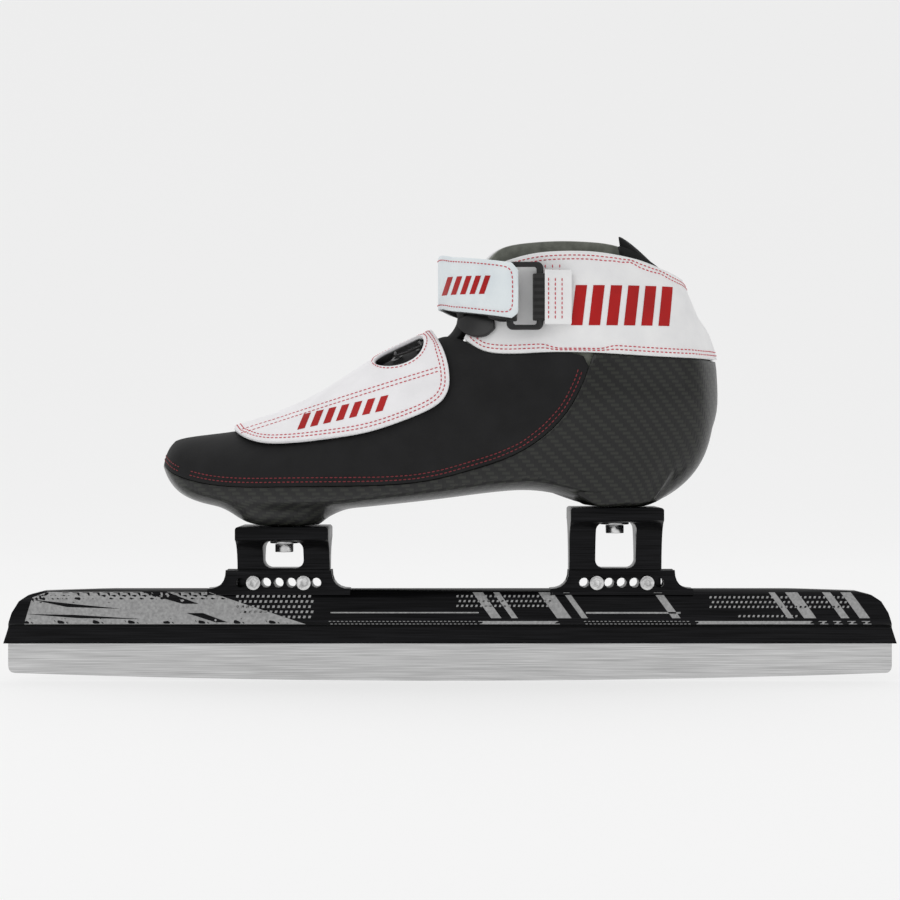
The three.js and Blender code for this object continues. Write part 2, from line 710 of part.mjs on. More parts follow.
const tongueHalf = (k) => (13 + 4 * smooth((k - 5.5) / 4)) * SY;
const angleFor = (k, y) => Math.PI - Math.asin(Math.min(0.98, (y / stationAt(k)[4]) ** (1 / ROUND)));
function linerUpper() {
  const rows = fullUpper.map((row) => row.map((place) => [...place]));
  const top = rows[rows.length - 1];
  const first = RIDGE_STEPS;
  const last = RIDGE_STEPS + THROAT_STEPS;
  for (let j = first + 1; j < last; j++) {
    const k = top[j][0];
    const open = Math.min(1, (j - first) / 1.5) ** 0.5;
    const edge = angleFor(k, (tongueHalf(k) + 2.4 * SY) * open);
    top[j][1] = Math.min(edge, top[j][1]);
  }
  return rowsBetween(toeRim, top, UPPER_ROWS);
}
const linerGrids = [
  ...bothSides(bowlRows(SHELL_ROWS)),
  ...bothSides(linerUpper()),
  ...collarGrids(COLLAR_ROWS),
];
add("inner_liner", shell(linerGrids, LINER_IN, LINER_OUT, onFloor(LINER_T), false), GREY_LINING);

const FOOTBED_OUT = LINER_IN - GAP;
const footbedRows = rowsBetween(
  soleLine.slice(1, -1),
  bowlRows(SHELL_ROWS)[4].slice(1, -1),
  4,
);
const onLiner = (p, isOuter) => {
  p.z = Math.max(p.z, floorAt(p.x) + LINER_T + GAP + (isOuter ? 0 : FOOTBED_T));
  return p;
};
add(
  "footbed",
  shell(bothSides(footbedRows), FOOTBED_OUT - FOOTBED_T, FOOTBED_OUT, onLiner, false),
  BLACK_HIDE,
);

const TONGUE_STEPS = 14;
const tongueGrid = [1, 0.8, 0.6, 0.4, 0.2, 0].map((u) =>
  span(6.3, LAST_END - 1.9, TONGUE_STEPS).map((k) => [k, angleFor(k, tongueHalf(k) * u)]),
);
add(
  "tongue",
  shell(bothSides(tongueGrid), LINER_IN - 0.4, (k) => LINER_OUT - 0.7 + 4.1 * smooth((k - 11.6) / 2)),
  BLACK_HIDE,
);

const PAD_COLUMNS = 5;
const achilles = collarGrids(COLLAR_ROWS, 0.3, 1.1).map(({ rows, side }) => ({
  rows: rows.map((row) => row.slice(-PAD_COLUMNS)),
  side,
}));
add("achilles_pad", shell(achilles, LINER_IN - GAP - 3.4, LINER_IN - GAP), BLACK_HIDE);

for (const [name, x, z] of CUPS) {
  const low = z + CARBON_T + 2 * GAP;
  add(name + "_sole_insert", ringZ(7, BOLT_D / 2 + GAP, low, low + INSERT_H, x), BOLT_STEEL);
}

// ---- vamp cover: a flap hinged along its inner edge, with an oval hole on the ridge ----
const COVER_LIFT = 2.9; // clearance over the lace
const OUTER_EDGE = 20;
const INNER_EDGE = 18;
const COVER_ROWS = 5;
const onSide = (places, side) => places.map(([k, t]) => [k, t, side]);
const coverOuter = sideLine(
  [
    [-107, 123],
    [-99.7, 117.4],
    [-88.8, 114.6],
    [-74.2, 115.1],
    [-56.2, 117.4],
    [-37.8, 120.7],
    [-19.8, 126.9],
    [-8, 132.2],
    [-1, 138],
    [0, 148],
    [-1.5, 157],
    [-5, 164.5],
    [-7.5, 168.5],
  ],
  OUTER_EDGE,
);
const coverInner = sideLine(
  [
    [-7.5, 168.5],
    [-7, 160],
    [-8.5, 150],
    [-12, 140.5],
    [-30, 134],
    [-52, 126.3],
    [-74, 118.5],
    [-92, 118],
    [-107, 123],
  ],
  INNER_EDGE,
);
const coverEdge = [...onSide(coverOuter, -1), ...onSide(coverInner.slice(1, -1), 1)];
const holeFrom = 7.4; // the hole's ends, in stations of the last
const holeTo = 8.9;
const HOLE_HALF_ANGLE = 0.34;
const HOLE_TURN = -0.28; // how far the hole lies towards the outer side

function coverRows() {
  const middle = (holeFrom + holeTo) / 2;
  const rk = (holeTo - holeFrom) / 2;
  const edge = [...coverEdge, coverEdge[0]];
  const turn = edge.length - 1;
  const signed = ([, t, side]) => (Math.PI - t) * side;
  let last = -Math.PI;
  const around = edge.map((place, j) => {
    const even = -Math.PI + (2 * Math.PI * j) / turn;
    if (j === 0 || j === turn) return even;
    let seen = Math.atan2((signed(place) - HOLE_TURN) / HOLE_HALF_ANGLE, (place[0] - middle) / rk);
    while (seen < last - 0.6) seen += 2 * Math.PI;
    last = seen;
    return 0.4 * seen + 0.6 * even;
  });
  const rows = [];
  for (let i = 0; i <= COVER_ROWS; i++)
    rows.push(
      edge.map((place, j) => {
        const a = around[j];
        const hk = middle + rk * Math.cos(a);
        const hs = HOLE_TURN + HOLE_HALF_ANGLE * Math.sin(a);
        const u = i / COVER_ROWS;
        const k = hk + (place[0] - hk) * u;
        const s = hs + (signed(place) - hs) * u;
        return [k, Math.PI - Math.abs(s), s < 0 ? -1 : 1];
      }),
    );
  return rows;
}
const coverLow = (k, t) => 0.7 + (COVER_LIFT - 0.7) * smooth((t - 2.0) / 0.7) * smooth((k - 3) / 1.6);
add(
  "vamp_cover",
  shell([{ rows: coverRows(), side: 1 }], coverLow, (k, t) => coverLow(k, t) + COVER_T),
  WHITE_HIDE,
);

// ---- lace and its eyelets ----
const EYELET_ROWS = 5;
const eyeletK = (i) => 5.6 + i * 0.78;
const EYELET_SET_BACK = 6; // from the edge of the lace opening
const eyeletAngle = (k) => angleFor(k, (THROAT_GAP + EYELET_SET_BACK) * SY);
const EYELET_LIFT = 0.35;
const LACE_LIFT = 1.5;

for (let i = 0; i < EYELET_ROWS; i++)
  for (const [name, side] of [["outer", -1], ["inner", 1]]) {
    const k = eyeletK(i);
    const t = eyeletAngle(k);
    const up = lastNormal(k, t, side);
    const p = lastPoint(k, t, side).addScaledVector(up, EYELET_LIFT);
    const profile = [[1.6, -0.2], [EYELET_R, -0.2], [EYELET_R, 0.1], [1.6, 0.2], [1.6, -0.2]];
    const ring = new THREE.LatheGeometry(profile.map(([r, y]) => new THREE.Vector2(r, y)), 10);
    ring.applyQuaternion(new THREE.Quaternion().setFromUnitVectors(new THREE.Vector3(0, 1, 0), up));
    ring.translate(p.x, p.y, p.z);
    add(`${name}_eyelet_${i + 1}`, ring, BLACK_PLASTIC);
  }

function laceTube() {
  const points = [];
  for (let i = 0; i < EYELET_ROWS; i++) {
    const side = i % 2 ? 1 : -1;
    for (const s of [1, 0.5, 0, -0.5, -1]) {
      const k = eyeletK(i);
      const t = Math.PI - (Math.PI - eyeletAngle(k)) * Math.abs(s);
      const on = s * side < 0 ? -1 : 1;
      points.push(lastPoint(k, t, on).addScaledVector(lastNormal(k, t, on), LACE_LIFT));
    }
  }
  const path = new THREE.CatmullRomCurve3(points, false, "centripetal");
  const s = new THREE.Shape();
  s.absarc(0, 0, LACE_R, 0, Math.PI * 2);
  return new THREE.ExtrudeGeometry(s, {
    steps: 56,
    extrudePath: path,
    curveSegments: 4,
    bevelEnabled: false,
  });
}
add("lace", laceTube(), BLACK_WEB);

// ---- ankle closure ----
// A band along a path of points, upright, with its own width and thickness.
function band(points, width, thickness, steps, roundEnd = 0) {
  const path = new THREE.CatmullRomCurve3(
    points.map(([x, y, z]) => new THREE.Vector3(x * SX, y * SY, z)),
    false,
    "centripetal",
  );
  const length = path.getLength();
  const position = [];
  for (let i = 0; i <= steps; i++) {
    const u = i / steps;
    const p = path.getPointAt(u);
    const along = path.getTangentAt(u);
    const out = new THREE.Vector3(along.y, -along.x, 0).normalize();
    const near = Math.min(u, 1 - u) * length;
    const lack = roundEnd * Math.max(0, 1 - near / Math.max(roundEnd, 1e-6));
    const half = width / 2 - (roundEnd ? roundEnd - Math.sqrt(Math.max(0, roundEnd ** 2 - lack ** 2)) : 0);
    for (const [o, h] of [[-1, -1], [1, -1], [1, 1], [-1, 1]]) {
      const q = p.clone().addScaledVector(out, (o * thickness) / 2);
      position.push(q.x, q.y, q.z + h * half);
    }
  }
  const index = [];
  for (let i = 0; i < steps; i++)
    for (let c = 0; c < 4; c++) {
      const a = i * 4 + c;
      const b = i * 4 + ((c + 1) % 4);
      index.push(a, b, b + 4, a, b + 4, a + 4);
    }
  const e = steps * 4;
  index.push(0, 2, 1, 0, 3, 2, e, e + 1, e + 2, e, e + 2, e + 3);
  const g = new THREE.BufferGeometry();
  g.setAttribute("position", new THREE.Float32BufferAttribute(position, 3));
  g.setIndex(index);
  const volume = solidOf(g).volume();
  if (volume < 0) index.reverse();
  g.setIndex(index);
  g.computeVertexNormals();
  return g;
}

const RING = { x0: 26.6, x1: 43.9, z0: 169.2, z1: 201.2, y: -39, deep: 2.4 };
const RING_SIDE = RING_BAR + 0.2;

function buckleRing() {
  const outside = roundedRect(RING.x0 * SX, RING.x1 * SX, RING.z0, RING.z1, 3);
  const inside = roundedRect(
    (RING.x0 + RING_SIDE) * SX,
    (RING.x1 - RING_SIDE) * SX,
    RING.z0 + RING_BAR - 0.6,
    RING.z1 - RING_BAR + 0.6,
    1.2,
  );
  const y = RING.y * SY;
  return cut(acrossY(outside, RING.deep, y), acrossY(inside, RING.deep + 2, y));
}
add("buckle_ring", buckleRing(), BLACK_PLASTIC);

const barRight = RING.x1 - RING_SIDE / 2;
const barLeft = RING.x0 + RING_SIDE / 2;
const LOOP_R = 2.95;
const LOOP_T = 1.1;
const webZ = 184.6;
add(
  "buckle_webbing",
  band(
    [
      [57, RING.y + 1.75, webZ],
      [49, RING.y + 2.1, webZ],
      [barRight + 0.5, RING.y + LOOP_R, webZ],
      [barRight - LOOP_R * 0.72, RING.y + LOOP_R * 0.7, webZ],
      [barRight - LOOP_R, RING.y, webZ],
      [barRight - LOOP_R * 0.72, RING.y - LOOP_R * 0.7, webZ],
      [barRight + 0.5, RING.y - LOOP_R, webZ],
      [49, RING.y - 1.4, webZ],
      [57, RING.y + 0.3, webZ],
    ],
    22,
    LOOP_T,
    40,
  ),
  BLACK_WEB,
);

const strapZ = (x) => 193.4 - 0.17 * Math.max(0, x + 6);
const STRAP_TURN = [
  [20, -40],
  [14, -35.2],
  [8, -29.6],
  [1.2, -20.4],
  [-3.4, -10.4],
  [-5.2, 0],
  [-3.4, 10.4],
  [1.4, 19.8],
  [8.6, 27.2],
  [17, 32.4],
  [27, 36],
  [39, 38.6],
  [50, 40],
];
const STRAP_FRONT_Z = 193.8;
const strapMiddleZ = (x) => (x < 0 ? STRAP_FRONT_Z : strapZ(x));
const strapFacePath = [[32, -44.4], [26, -43.4], ...STRAP_TURN].map(([x, y]) => [x, y, strapMiddleZ(x)]);
add("strap_face", band(strapFacePath, STRAP_WIDTH, STRAP_T, 44, 3), WHITE_HIDE);

// The backing lies inside the face, and loops round the ring's front bar.
const STRAP_STEP = STRAP_T / 2 + 2 * GAP + LOOP_T / 2;
const BACKING_DROP = 1.6; // how far the backing's middle line hangs below the face's
const backZ = 185.3;
const insideFace = STRAP_TURN.slice(1, -1).map(([x, y], i, all) => {
  const [ax, ay] = all[Math.max(0, i - 1)];
  const [bx, by] = all[Math.min(all.length - 1, i + 1)];
  const length = Math.hypot(bx - ax, by - ay);
  const z = strapMiddleZ(x) - BACKING_DROP;
  return [x + ((by - ay) / length) * STRAP_STEP, y - ((bx - ax) / length) * STRAP_STEP, z];
});
add(
  "strap_backing",
  band(
    [
      [18, RING.y + 5.4, backZ + 2],
      [23, RING.y + 3.6, backZ],
      [barLeft, RING.y + LOOP_R, backZ],
      [barLeft + LOOP_R * 0.7, RING.y + LOOP_R * 0.7, backZ],
      [barLeft + LOOP_R, RING.y, backZ],
      [barLeft + LOOP_R * 0.7, RING.y - LOOP_R * 0.7, backZ],
      [barLeft, RING.y - LOOP_R, backZ],
      [24.2, RING.y - 1.7, backZ + 1],
      ...insideFace,
    ],
    24,
    LOOP_T,
    72,
  ),
  BLACK_WEB,
);

const sidePatch = (low, high, steps, rows, side, inner, outer) => {
  const grid = rowsBetween(sideLine(low, steps), sideLine(high, steps), rows);
  return shell([{ rows: grid, side }], inner, outer);
};
add(
  "strap_hook_patch",
  sidePatch(
    [[30, 177], [42, 175], [56, 174]],
    [[30, 203], [42, 202], [56, 201]],
    6,
    4,
    1,
    COLLAR_PROUD + GAP,
    COLLAR_PROUD + GAP + 1,
  ),
  BLACK_WEB,
);
add(
  "instep_tab",
  sidePatch(
    [[5.2, 172], [8, 167.6], [13, 165.8], [18, 166.4], [22, 170]],
    [[5.6, 174], [9, 176.6], [13, 177], [18, 176.6], [21.8, 174]],
    8,
    4,
    -1,
    COLLAR_PROUD + GAP,
    COLLAR_PROUD + GAP + 1.8,
  ),
  BLACK_WEB,
);

export default skate;
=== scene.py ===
"""A left speed skate: the looks of its boot, closures, cups, tube and blade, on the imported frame."""
import json
import math

import bmesh
import bpy
from mathutils import Matrix, Vector
from mathutils.bvhtree import BVHTree

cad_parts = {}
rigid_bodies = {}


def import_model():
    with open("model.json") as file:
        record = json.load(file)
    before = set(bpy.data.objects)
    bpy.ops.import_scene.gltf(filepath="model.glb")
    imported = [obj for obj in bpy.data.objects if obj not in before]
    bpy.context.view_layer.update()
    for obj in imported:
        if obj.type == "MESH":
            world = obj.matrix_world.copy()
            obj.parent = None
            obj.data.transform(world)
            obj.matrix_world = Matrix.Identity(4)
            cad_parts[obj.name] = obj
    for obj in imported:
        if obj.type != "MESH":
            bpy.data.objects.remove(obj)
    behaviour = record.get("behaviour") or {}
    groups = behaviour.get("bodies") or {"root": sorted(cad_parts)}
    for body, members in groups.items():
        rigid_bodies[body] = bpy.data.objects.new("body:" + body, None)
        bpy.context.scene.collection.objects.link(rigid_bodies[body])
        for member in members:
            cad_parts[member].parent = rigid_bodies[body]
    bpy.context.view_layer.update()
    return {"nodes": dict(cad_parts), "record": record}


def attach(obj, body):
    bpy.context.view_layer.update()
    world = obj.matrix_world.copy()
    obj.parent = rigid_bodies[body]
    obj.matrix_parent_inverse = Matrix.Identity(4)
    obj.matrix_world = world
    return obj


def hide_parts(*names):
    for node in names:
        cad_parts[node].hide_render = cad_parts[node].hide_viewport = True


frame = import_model()
nodes = frame["nodes"]
MM = 0.001
MERGE = 0.01 * MM  # corners of a CAD mesh nearer than this are one corner
FAR_SIDE = 200 * MM  # where a line of sight from the side starts, clear of everything

# ---------------------------------------------------------------- small tools


def linear(hex_colour):
    """An sRGB hex colour as the linear RGBA that a shader socket takes."""
    parts = [int(hex_colour[i : i + 2], 16) / 255 for i in (1, 3, 5)]
    return [c / 12.92 if c <= 0.04045 else ((c + 0.055) / 1.055) ** 2.4 for c in parts] + [1]


def node(tree, kind, links=None, **settings):
    """Adds a shader node; settings are its properties, or its inputs by name or in_ and number."""
    made = tree.nodes.new("ShaderNode" + kind)
    for key, value in settings.items():
        if key.startswith("in_"):
            made.inputs[int(key[3:])].default_value = value
        elif hasattr(made, key):
            setattr(made, key, value)
        else:
            made.inputs[key.replace("_", " ")].default_value = value
    for socket, source in (links or {}).items():
        tree.links.new(source, made.inputs[socket])
    return made


def material(name, colour, roughness, metallic=0.0, **sockets):
    """A new material with its shader's own sockets set, its node tree and that shader."""
    made = bpy.data.materials.new(name)
    made.use_nodes = True
    shader = made.node_tree.nodes["Principled BSDF"]
    shader.inputs["Base Color"].default_value = linear(colour)
    shader.inputs["Roughness"].default_value = roughness
    shader.inputs["Metallic"].default_value = metallic
    for key, value in sockets.items():
        shader.inputs[key.replace("_", " ")].default_value = value
    return made, made.node_tree, shader


def ramp(tree, factor, low, high, at=(0.3, 0.7)):
    """Two colours, mixed by a factor between two stops."""
    made = node(tree, "ValToRGB", {0: factor})
    for stop, place, colour in zip(made.color_ramp.elements, at, (low, high)):
        stop.position = place
        stop.color = linear(colour)
    return made.outputs[0]


def bump(tree, shader, height, depth_mm, strength=1.0):
    made = node(tree, "Bump", {"Height": height}, Distance=depth_mm * MM, Strength=strength)
    tree.links.new(made.outputs[0], shader.inputs["Normal"])


def noise(tree, size_mm, detail=3.0, stretch=(1, 1, 1)):
    """Noise on Object coordinates whose features are about size_mm across."""
    place = node(tree, "TexCoord").outputs["Object"]
    mapped = node(tree, "Mapping", {0: place}, Scale=[s / (size_mm * MM) for s in stretch])
    return node(tree, "TexNoise", {"Vector": mapped.outputs[0]}, Scale=1.0, Detail=detail).outputs["Fac"]


# ---------------------------------------------------------------- materials


def microfibre(name, dark, light, roughness, grain_mm=0.9):
    # Synthetic leather: a matt skin whose fine grain catches a soft sheen.
    made, tree, shader = material(name, light, roughness, Specular_IOR_Level=0.3)
    cloudy = noise(tree, 14)
    tree.links.new(ramp(tree, cloudy, dark, light), shader.inputs["Base Color"])
    bump(tree, shader, noise(tree, grain_mm, 4.0), 0.12, 0.5)
    return made


def carbon_weave():
    # Lacquered carbon twill under a clear gloss coat: the tows on top are painted lighter than those
    # beneath as painted highlight, and each tow is painted darker towards its edges as painted shade.
    made, tree, shader = material(
        "lacquered_carbon_twill", "#1a1b18", 0.5, 0.0, Coat_Weight=0.35, Coat_Roughness=0.12, IOR=1.35
    )
    tow = 1.9 * MM
    uv = node(tree, "UVMap", uv_map="weave").outputs[0]
    split = node(tree, "SeparateXYZ", {0: uv})
    across = node(tree, "Math", {0: split.outputs[0]}, operation="DIVIDE", in_1=tow).outputs[0]
    along = node(tree, "Math", {0: split.outputs[1]}, operation="DIVIDE", in_1=tow).outputs[0]
    column = node(tree, "Math", {0: across}, operation="FLOOR").outputs[0]
    row = node(tree, "Math", {0: along}, operation="FLOOR").outputs[0]
    step = node(tree, "Math", {0: column, 1: row}, operation="ADD").outputs[0]
    quarter = node(tree, "Math", {0: step}, operation="FLOORED_MODULO", in_1=4.0).outputs[0]
    over = node(tree, "Math", {0: quarter}, operation="GREATER_THAN", in_1=1.5).outputs[0]
    # Each tow is a low round bar, so its height is a sine across its own width.
    waves = []
    for cell in (across, along):
        turned = node(tree, "Math", {0: cell}, operation="MULTIPLY", in_1=math.pi).outputs[0]
        wave = node(tree, "Math", {0: turned}, operation="SINE").outputs[0]
        waves.append(node(tree, "Math", {0: wave}, operation="ABSOLUTE").outputs[0])
    height = node(tree, "Mix", {0: over, 2: waves[0], 3: waves[1]}, data_type="FLOAT").outputs[0]
    # Painted highlight: tows that lie on top get a lighter colour than tows beneath, standing in for the
    # light they catch.
    painted_tow_highlight = node(tree, "Mix", {0: over}, data_type="RGBA", in_6=linear("#080807"), in_7=linear("#242620"))
    # Painted shade: each tow's colour falls to near black towards its edges, where the grooves between tows
    # would lie in shade.
    edge = node(tree, "Mix", {0: height, 7: painted_tow_highlight.outputs[2]}, data_type="RGBA", in_6=linear("#040404"))
    tree.links.new(edge.outputs[2], shader.inputs["Base Color"])
    bump(tree, shader, height, 0.12, 0.5)
    return made


def anodised(name="black_anodised_aluminium"):
    # Bead-blasted and black anodised: deep black with faint long milling lines.
    made, tree, shader = material(name, "#0b0b0c", 0.36, 0.85)
    lines = noise(tree, 0.6, 2.0, (0.02, 1, 1))
    tree.links.new(ramp(tree, lines, "#070708", "#1c1c1e"), shader.inputs["Base Color"])
    bump(tree, shader, lines, 0.02, 0.25)
    return made


def blade_steel():
    # Hardened steel, ground along its length: fine lines.
    made, tree, shader = material("ground_tool_steel", "#c6c6c6", 0.34, 0.9)
    lines = noise(tree, 0.35, 3.0, (0.012, 1, 1))
    tree.links.new(ramp(tree, lines, "#b4b4b4", "#dedede"), shader.inputs["Base Color"])
    bump(tree, shader, lines, 0.01, 0.3)
    return made


def bolt_steel():
    # Turned stainless fasteners: bright, with a little variation from handling.
    made, tree, shader = material("turned_stainless", "#d9d9d9", 0.24, 1.0)
    tree.links.new(ramp(tree, noise(tree, 3.0), "#bdbdbd", "#e6e6e6"), shader.inputs["Base Color"])
    return made


def lining():
    # Brushed knit lining over foam: grey-green, soft, with a visible nap.
    made, tree, shader = material("brushed_knit_lining", "#6c6f66", 0.95, 0.0, Sheen_Weight=0.5)
    tree.links.new(ramp(tree, noise(tree, 5.0, 6.0), "#595c54", "#7a7d74"), shader.inputs["Base Color"])
    bump(tree, shader, noise(tree, 0.7, 5.0), 0.25, 0.6)
    return made


def webbing():
    # Woven polyester: matt black ribs across the band.
    made, tree, shader = material("woven_polyester", "#141414", 0.8, 0.0, Sheen_Weight=0.2)
    place = node(tree, "TexCoord").outputs["Object"]
    wave = node(tree, "TexWave", {0: place}, Scale=1 / (2 * math.pi * 0.5 * MM) / 3.2, bands_direction="Z")
    tree.links.new(ramp(tree, wave.outputs["Fac"], "#0d0d0d", "#242424"), shader.inputs["Base Color"])
    bump(tree, shader, wave.outputs["Fac"], 0.2, 0.6)
    return made


def plastic():
    # Moulded acetal: satin black with the faintest moulded grain.
    made, tree, shader = material("moulded_acetal", "#101011", 0.32)
    bump(tree, shader, noise(tree, 0.5), 0.02, 0.3)
    tree.links.new(ramp(tree, noise(tree, 8.0), "#0c0c0d", "#171718"), shader.inputs["Base Color"])
    return made


def thread(name, dark, light):
    # Twisted polyester sewing thread, slightly shiny.
    made, tree, shader = material(name, light, 0.55)
    tree.links.new(ramp(tree, noise(tree, 2.0), dark, light), shader.inputs["Base Color"])
    return made


def print_silver():
    # Silver screen print over black anodising: flat and slightly grainy.
    made, tree, shader = material("silver_print", "#a2a2a2", 0.5, 0.3)
    tree.links.new(ramp(tree, noise(tree, 1.2), "#8e8e8e", "#acacac"), shader.inputs["Base Color"])
    return made


WHITE = microfibre("white_microfibre", "#f4f3f5", "#fcfbfd", 0.55)
OFF_WHITE = microfibre("off_white_microfibre", "#ececed", "#f6f6f6", 0.55)
STRAP_WHITE = microfibre("coated_strap", "#e2eaee", "#eff6f8", 0.45)
BLACK = microfibre("black_microfibre", "#121213", "#1b1b1c", 0.75)
CARBON = carbon_weave()
ALLOY = anodised()
STEEL = blade_steel()
BOLTS = bolt_steel()
LINING = lining()
WEB = webbing()
PLASTIC = plastic()
RED_THREAD = thread("red_thread", "#b8222e", "#d4485a")
DARK_THREAD = thread("dark_red_thread", "#6a1820", "#8a2630")
RED_FILM = microfibre("red_heat_film", "#a60a0a", "#b90f10", 0.4)
SILVER = print_silver()

BY_SLOT = {
    "blade_steel": STEEL,
    "black_alloy": ALLOY,
    "bolt_steel": BOLTS,
    "carbon": CARBON,
    "black_microfibre": BLACK,
    "white_microfibre": WHITE,
    "grey_lining": LINING,
    "black_webbing": WEB,
    "black_plastic": PLASTIC,
}
slot_of = {part["node"]: part["material_slot"] for part in frame["record"]["subparts"]}
body_of = {n: body for body, members in frame["record"]["behaviour"]["bodies"].items() for n in members}


def dress(obj, finish):
    obj.data.materials.clear()
    obj.data.materials.append(finish)


for name, obj in nodes.items():
    if obj.material_slots:
        for each in obj.material_slots:
            each.material = BY_SLOT[slot_of[name]]
    else:
        obj.data.materials.append(BY_SLOT[slot_of[name]])

# ---------------------------------------------------------------- picking and shaping


def pick(*objs):
    """Selects only these objects; the last is the active one."""
    bpy.ops.object.select_all(action="DESELECT")
    for obj in objs:
        obj.select_set(True)
    bpy.context.view_layer.objects.active = objs[-1]


def copy_of(obj, name):
    """A free copy of an object, at the origin, with its own mesh and none of its frame notes."""
    pick(obj)
    bpy.ops.object.duplicate()
    made = bpy.context.object
    bpy.ops.object.parent_clear(type="CLEAR_KEEP_TRANSFORM")
    for key in [k for k in made.keys() if k.startswith("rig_")]:
        del made[key]
    made.name = made.data.name = name
    return made


def apply_modifier(obj, kind, **settings):
    pick(obj)
    made = obj.modifiers.new(kind.title(), kind)
    for key, value in settings.items():
        setattr(made, key, value)
    bpy.ops.object.modifier_apply(modifier=made.name)


SMOOTH_SOFT = math.radians(60)  # edges that turn less than this are shaded round
SMOOTH_HARD = math.radians(40)
QUAD_TURN = math.radians(50)  # two triangles that turn less than this become one quad
QUAD_SKEW = math.radians(60)


def refine(obj, levels=2, sharp_degrees=38, crease=0.85):
    """Quads from the faceted CAD skin, then a subdivision surface whose rims stay crisp."""
    pick(obj)
    bpy.ops.object.mode_set(mode="EDIT")
    bpy.ops.mesh.select_all(action="SELECT")
    bpy.ops.mesh.remove_doubles(threshold=MERGE)
    bpy.ops.mesh.tris_convert_to_quads(face_threshold=QUAD_TURN, shape_threshold=QUAD_SKEW)
    bpy.ops.mesh.select_mode(type="EDGE")
    bpy.ops.mesh.select_all(action="DESELECT")
    bpy.ops.mesh.edges_select_sharp(sharpness=math.radians(sharp_degrees))
    bpy.ops.transform.edge_crease(value=crease)
    bpy.ops.mesh.select_all(action="SELECT")
    bpy.ops.object.mode_set(mode="OBJECT")
    apply_modifier(obj, "SUBSURF", levels=levels, render_levels=levels)
    pick(obj)
    bpy.ops.object.shade_smooth_by_angle(angle=SMOOTH_SOFT)
    return obj


def soften(obj, width_mm, segments=3, degrees=35):
    """Rounds the hard edges of a machined or moulded piece."""
    pick(obj)
    bpy.ops.object.mode_set(mode="EDIT")
    bpy.ops.mesh.select_all(action="SELECT")
    bpy.ops.mesh.remove_doubles(threshold=MERGE)
    bpy.ops.mesh.dissolve_limited(angle_limit=math.radians(0.5))
    bpy.ops.object.mode_set(mode="OBJECT")
    apply_modifier(
        obj,
        "BEVEL",
        width=width_mm * MM,
        segments=segments,
        limit_method="ANGLE",
        angle_limit=math.radians(degrees),
        harden_normals=True,
        use_clamp_overlap=True,
    )
    pick(obj)
    bpy.ops.object.shade_smooth_by_angle(angle=SMOOTH_HARD)
    return obj


def stand_in(cad_name, name, finish, shape, *settings):
    """A shaped copy that takes a CAD node's place on its body."""
    made = shape(copy_of(nodes[cad_name], name), *settings)
    dress(made, finish)
    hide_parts(cad_name)
    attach(made, body_of[cad_name])
    return made


def tree_of(obj):
    """A ray and nearest-point tree of a finished object."""
    return BVHTree.FromObject(obj, bpy.context.evaluated_depsgraph_get())


# ---------------------------------------------------------------- soft pieces

carbon = stand_in("carbon_shell", "carbon_shell_skin", CARBON, refine)
upper = stand_in("upper", "upper_skin", BLACK, refine)
collar = stand_in("ankle_collar", "collar_skin", OFF_WHITE, refine)
liner = stand_in("inner_liner", "liner_skin", LINING, refine)
tongue = stand_in("tongue", "tongue_skin", BLACK, refine)
heel_pad = stand_in("achilles_pad", "achilles_skin", BLACK, refine)
footbed = stand_in("footbed", "footbed_skin", LINING, refine)
cover = stand_in("vamp_cover", "cover_skin", WHITE, refine)
strap = stand_in("strap_face", "strap_skin", STRAP_WHITE, refine)
stand_in("strap_backing", "strap_backing_skin", WEB, refine)
ring_web = stand_in("buckle_webbing", "webbing_skin", WEB, refine)
stand_in("strap_hook_patch", "hook_patch_skin", WEB, refine)
stand_in("instep_tab", "instep_tab_skin", PLASTIC, refine)

# ---------------------------------------------------------------- hard pieces

tube = stand_in("blade_tube", "tube_body", ALLOY, soften, 0.5)
for end in ("front", "rear"):
    stand_in(end + "_cup", end + "_cup_body", ALLOY, soften, 0.8)
    stand_in(end + "_cup_bolt", end + "_hex_bolt", BOLTS, soften, 0.35)
    stand_in(end + "_cup_washer", end + "_washer", BOLTS, soften, 0.2)
    for place in ("fore", "aft"):
        stand_in(f"{end}_cross_screw_{place}", f"{end}_screw_{place}", BOLTS, soften, 0.2)
        stand_in(f"{end}_cross_nut_{place}", f"{end}_nut_{place}", BOLTS, soften, 0.2)
ring = stand_in("buckle_ring", "ring_body", PLASTIC, soften, 0.9)


def weave_map(obj, heel_x=85 * MM, heel_radius=42 * MM):
    """A weave layout: along the boot and round the heel one way, up the wall or over the sole the other."""
    layer = obj.data.uv_layers.new(name="weave")
    for face in obj.data.polygons:
        under = face.normal.z < -0.75
        for index in face.loop_indices:
            p = obj.data.vertices[obj.data.loops[index].vertex_index].co
            along = p.x
            if p.x > heel_x:
                along = heel_x + heel_radius * math.atan2(p.x - heel_x, abs(p.y) + 1e-6)
            layer.data[index].uv = (along, p.y) if under else (along, p.z)


weave_map(carbon)

# ---------------------------------------------------------------- stitching


def skin_of(obj, start, max_turn_degrees=50):
    """The outer skin of a shell: the faces reached from the one nearest to start without a sharp turn."""
    mesh = bmesh.new()
    mesh.from_mesh(obj.data)
    bmesh.ops.remove_doubles(mesh, verts=mesh.verts, dist=MERGE)
    mesh.normal_update()
    mesh.faces.ensure_lookup_table()
    _, _, first, _ = BVHTree.FromBMesh(mesh).find_nearest(start)
    reached = {mesh.faces[first]}
    edge_of_reach = [mesh.faces[first]]
    while edge_of_reach:
        face = edge_of_reach.pop()
        for edge in face.edges:
            for other in edge.link_faces:
                turn = face.normal.angle(other.normal, math.pi)
                if other not in reached and turn < math.radians(max_turn_degrees):
                    reached.add(other)
                    edge_of_reach.append(other)
    # A set of faces has no fixed order, so they are put in the order of their places.
    mesh.verts.index_update()
    return mesh, sorted(reached, key=lambda face: tuple(face.calc_center_median()))


